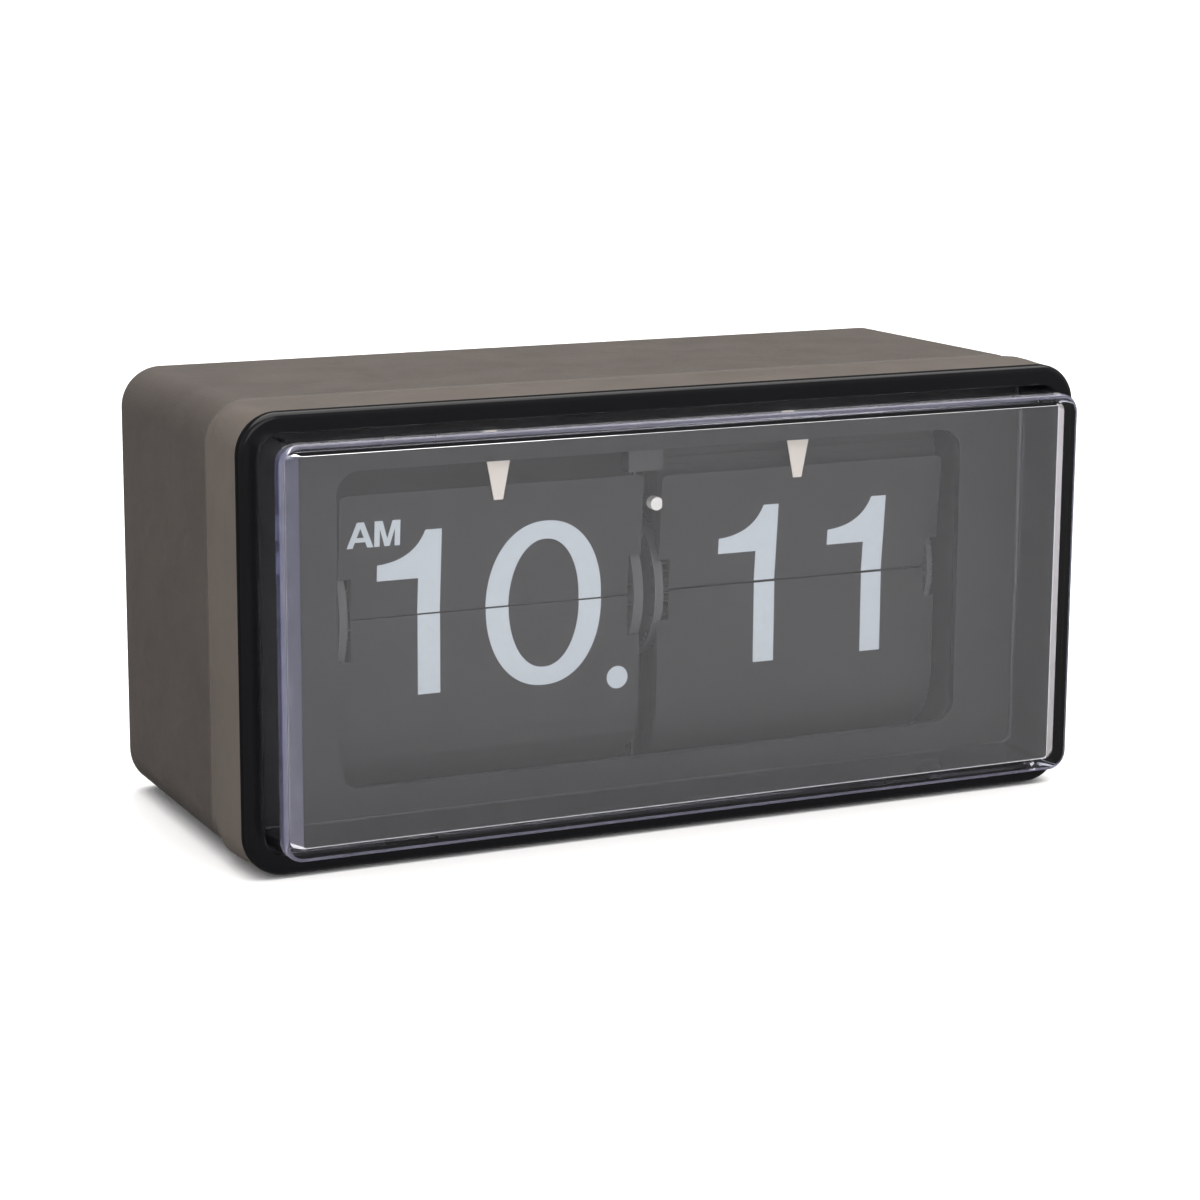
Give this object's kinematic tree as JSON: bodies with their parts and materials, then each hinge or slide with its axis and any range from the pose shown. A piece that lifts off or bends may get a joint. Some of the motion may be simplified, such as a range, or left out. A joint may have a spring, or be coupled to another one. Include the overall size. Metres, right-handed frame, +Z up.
{
  "type": "flip number clock",
  "caption": "Table clock in a boxed case: split-leaf hour and minute drums behind a clear front cover, driven by a battery movement and set by a rear finger wheel.",
  "frame": {"origin": "middle of the footprint, on the plane the rubber feet stand on", "axes": "+X to the right as the clock is read, +Y towards the back, +Z up"},
  "size_m": [0.21, 0.0996, 0.1027],
  "materials": {
    "case_plastic": "fine matte texture, warm grey brown",
    "band_plastic": "smooth satin, warm grey brown",
    "disc_plastic": "satin",
    "gloss_black": "glossy",
    "clear_plastic": "polished, clear",
    "dial_grey": "satin",
    "rubber": "matte",
    "leaf_plastic": "matte printed",
    "black_plastic": "satin",
    "frame_steel": "zinc plated",
    "dark_plastic": "satin",
    "white_nylon": "satin",
    "tongue_plastic": "satin",
    "natural_acetal": "satin",
    "plated_steel": "nickel plated",
    "cell_jacket": "printed sleeve with a copper coloured end",
    "circuit_board": "solder mask"
  },
  "bodies": {
    "case": {"rear_shell": "case_plastic", "front_band": "band_plastic", "bezel_ring": "gloss_black", "clear_cover": "clear_plastic", "dial_plate": "dial_grey", "rubber_feet": "rubber", "case_screws": "plated_steel", "battery": "cell_jacket", "battery_contacts": "plated_steel", "battery_spring": "plated_steel", "left_side_plate": "frame_steel", "centre_plate": "dark_plastic", "right_side_plate": "frame_steel", "gear_plate": "frame_steel", "tie_bars": "plated_steel", "frame_brackets": "frame_steel", "bracket_screws": "plated_steel", "tongue_rail": "dark_plastic", "hour_catch_tongue": "tongue_plastic", "minute_catch_tongue": "tongue_plastic", "tongue_rivets": "plated_steel", "hour_axle": "plated_steel", "detent_spring": "plated_steel", "lever_pivot": "plated_steel", "motor_case": "black_plastic", "motor_screws": "plated_steel", "circuit_board": "circuit_board", "board_screws": "plated_steel"},
    "battery_door": {"battery_door": "case_plastic"},
    "minute_drum": {"minute_shaft": "plated_steel", "minute_hub": "black_plastic", "minute_disc_left": "disc_plastic", "minute_disc_right": "disc_plastic", "minute_leaves": "leaf_plastic", "carry_cam": "black_plastic", "minute_gear": "natural_acetal"},
    "minute_flap": {"minute_flap": "leaf_plastic"},
    "hour_drum": {"hour_hub": "black_plastic", "hour_disc_left": "disc_plastic", "hour_disc_right": "disc_plastic", "hour_ratchet": "black_plastic", "hour_leaves": "leaf_plastic"},
    "hour_flap": {"hour_flap": "leaf_plastic"},
    "carry_lever": {"carry_lever": "black_plastic", "lever_tip": "white_nylon"},
    "idler": {"idler_gear": "natural_acetal", "idler_arbor": "plated_steel"},
    "motor_rotor": {"motor_pinion": "natural_acetal"},
    "setting_wheel": {"setting_gear": "natural_acetal", "setting_arbor": "plated_steel", "setting_wheel": "black_plastic"}
  },
  "joints": [
    {"name": "minute_drum_turn", "type": "hinge", "parent": "case", "child": "minute_drum", "pos_m": [0.0424, -0.0001, 0.0513], "axis": [1, 0, 0], "range_deg": [0, 6]},
    {"name": "minute_flap_fall", "type": "hinge", "parent": "minute_drum", "child": "minute_flap", "pos_m": [0.0424, -0.01744, 0.0527], "axis": [1, 0, 0], "range_deg": [0, 167], "deforming": ["minute_catch_tongue"]},
    {"name": "idler_turn", "type": "hinge", "parent": "case", "child": "idler", "pos_m": [0.0884, 0.0173, 0.0467], "axis": [1, 0, 0], "range_deg": [-30, 0]},
    {"name": "motor_turn", "type": "hinge", "parent": "case", "child": "motor_rotor", "pos_m": [0.0897, 0.01202, 0.03537], "axis": [1, 0, 0], "range_deg": [0, 120]},
    {"name": "setting_turn", "type": "hinge", "parent": "case", "child": "setting_wheel", "pos_m": [0.0966, 0.0348, 0.05639], "axis": [1, 0, 0], "range_deg": [0, 30]},
    {"name": "hour_drum_turn", "type": "hinge", "parent": "case", "child": "hour_drum", "pos_m": [-0.0375, -0.0001, 0.0513], "axis": [1, 0, 0], "range_deg": [0, 15], "deforming": ["detent_spring"]},
    {"name": "hour_flap_fall", "type": "hinge", "parent": "hour_drum", "child": "hour_flap", "pos_m": [-0.0375, -0.01735, 0.05357], "axis": [1, 0, 0], "range_deg": [0, 160.5], "deforming": ["hour_catch_tongue"]},
    {"name": "carry_lever_rock", "type": "hinge", "parent": "case", "child": "carry_lever", "pos_m": [0.0026, 0.0121, 0.0723], "axis": [-1, 0, 0], "range_deg": [0, 4], "stiffness_Nm_per_rad": 0.05},
    {"name": "battery_door_open", "type": "hinge", "parent": "case", "child": "battery_door", "pos_m": [0, 0.0466, 0.0062], "axis": [-1, 0, 0], "range_deg": [0, 90]}
  ],
  "couplings": [
    {"joint": "minute_flap_fall", "follows": "minute_drum_turn", "ratio": 27.833},
    {"joint": "idler_turn", "follows": "minute_drum_turn", "ratio": -5},
    {"joint": "motor_turn", "follows": "minute_drum_turn", "ratio": 20},
    {"joint": "setting_turn", "follows": "minute_drum_turn", "ratio": 5},
    {"joint": "hour_flap_fall", "follows": "hour_drum_turn", "ratio": 10.7}
  ]
}
